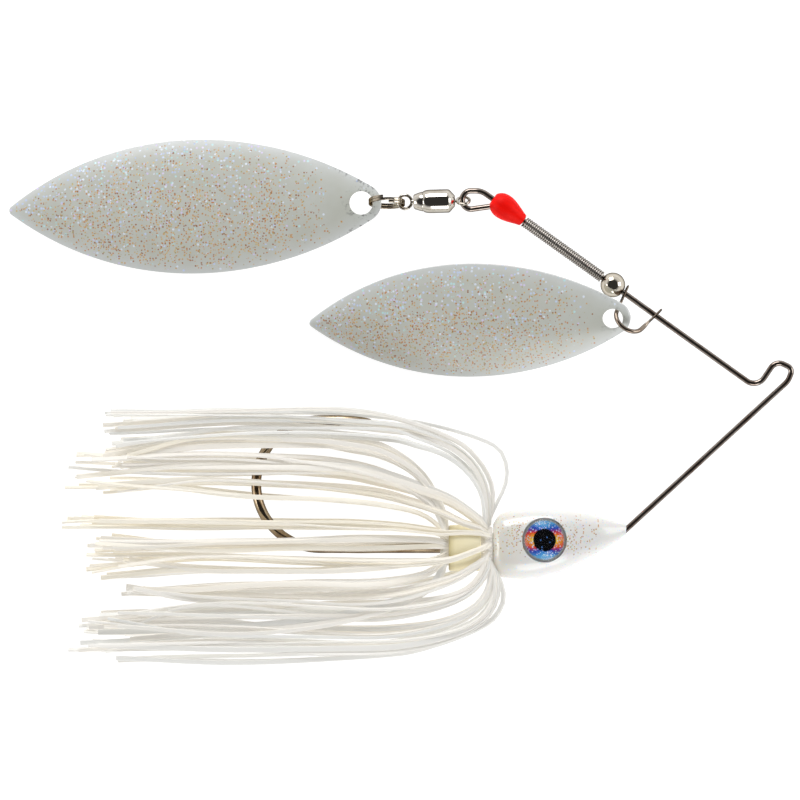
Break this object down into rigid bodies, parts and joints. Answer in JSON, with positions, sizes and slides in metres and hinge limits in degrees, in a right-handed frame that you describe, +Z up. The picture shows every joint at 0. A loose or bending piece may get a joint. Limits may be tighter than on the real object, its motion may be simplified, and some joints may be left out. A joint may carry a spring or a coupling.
{
  "type": "spinnerbait",
  "caption": "Bent-wire fishing lure with a weighted head, a skirted hook, and willow-leaf spinner blades on a clevis and on a swivel.",
  "frame": {"origin": "line tie: the middle of the open bend at the wire's nose, in the wire's plane", "axes": "+X forward, the way the lure is pulled; +Y from the hook's shank to its point; +Z up, square to the bent wire's plane, as the lure lies on its side"},
  "size_m": [0.1272, 0.0849, 0.0112],
  "materials": {
    "stainless_wire": "bright drawn stainless wire",
    "black_nickel_hook": "bronze-toned nickel plate",
    "pearl_white_head": "glossy pearl white enamel with glitter",
    "eye_foil": "printed holographic foil with a black pupil",
    "eye_lens": "clear domed resin",
    "skirt_collar": "translucent amber rubber",
    "skirt_silicone": "pearl white silicone",
    "red_sleeve": "scarlet heat-shrunk tube",
    "spring_sleeve": "nickel-plated spring wire",
    "bead": "polished nickel plate",
    "clevis": "stainless wire with flattened ears",
    "blade_paint": "pearl grey paint with gold and blue glitter",
    "swivel": "polished nickel plate",
    "swivel_ball": "polished bearing steel",
    "split_ring": "nickel plate"
  },
  "bodies": {
    "frame": {"wire_frame": "stainless_wire", "hook": "black_nickel_hook", "head": "pearl_white_head", "eye_foil_left": "eye_foil", "eye_foil_right": "eye_foil", "eye_lens_left": "eye_lens", "eye_lens_right": "eye_lens", "skirt_collar": "skirt_collar", "skirt_roots": "skirt_silicone", "skirt_front_upper_1": "skirt_silicone", "skirt_front_upper_2": "skirt_silicone", "skirt_front_upper_3": "skirt_silicone", "skirt_front_upper_4": "skirt_silicone", "skirt_front_upper_5": "skirt_silicone", "skirt_front_lower_1": "skirt_silicone", "skirt_front_lower_2": "skirt_silicone", "skirt_front_lower_3": "skirt_silicone", "skirt_front_lower_4": "skirt_silicone", "skirt_front_lower_5": "skirt_silicone", "skirt_rear_upper": "skirt_silicone", "skirt_rear_lower": "skirt_silicone", "tag_sleeve": "red_sleeve"},
    "spring": {"spring_sleeve": "spring_sleeve"},
    "bead": {"bead": "bead"},
    "clevis": {"clevis": "clevis"},
    "small_blade": {"small_blade": "blade_paint"},
    "swivel": {"swivel_barrel": "swivel", "swivel_front_eye": "swivel", "swivel_ball_1": "swivel_ball", "swivel_ball_2": "swivel_ball", "swivel_ball_3": "swivel_ball", "swivel_ball_4": "swivel_ball", "swivel_ball_5": "swivel_ball", "swivel_ball_6": "swivel_ball"},
    "swivel_rear_eye": {"swivel_rear_eye": "swivel"},
    "split_ring": {"split_ring": "split_ring"},
    "large_blade": {"large_blade": "blade_paint"}
  },
  "joints": [
    {"name": "spring_turn", "type": "hinge", "parent": "frame", "child": "spring", "pos_m": [-0.03546, 0.01984, 0], "axis": [-0.8127, 0.5827, 0], "continuous": true},
    {"name": "bead_turn", "type": "hinge", "parent": "frame", "child": "bead", "pos_m": [-0.02743, 0.01408, 0], "axis": [-0.8127, 0.5827, 0], "continuous": true},
    {"name": "clevis_turn", "type": "hinge", "parent": "frame", "child": "clevis", "pos_m": [-0.02303, 0.01092, 0], "axis": [-0.8127, 0.5827, 0], "continuous": true},
    {"name": "small_blade_swing", "type": "hinge", "parent": "clevis", "child": "small_blade", "pos_m": [-0.02696, 0.0089, 0.00354], "axis": [0.2272, -0.8389, 0.4947], "range_deg": [-20, 75]},
    {"name": "swivel_swing", "type": "hinge", "parent": "frame", "child": "swivel", "pos_m": [-0.05179, 0.02772, 0], "axis": [-0.0209, 0.9998, 0], "range_deg": [-70, 33]},
    {"name": "swivel_spin", "type": "hinge", "parent": "swivel", "child": "swivel_rear_eye", "pos_m": [-0.06107, 0.02753, -0.00052], "axis": [0.9982, 0.0209, 0.0558], "continuous": true},
    {"name": "ring_swing", "type": "hinge", "parent": "swivel_rear_eye", "child": "split_ring", "pos_m": [-0.06217, 0.02751, -0.00058], "axis": [-0.0209, 0.9998, 0], "range_deg": [-50, 60]},
    {"name": "large_blade_swing", "type": "hinge", "parent": "split_ring", "child": "large_blade", "pos_m": [-0.06818, 0.02738, -0.00092], "axis": [-0.0558, -0.0012, 0.9984], "range_deg": [-75, 30]}
  ]
}
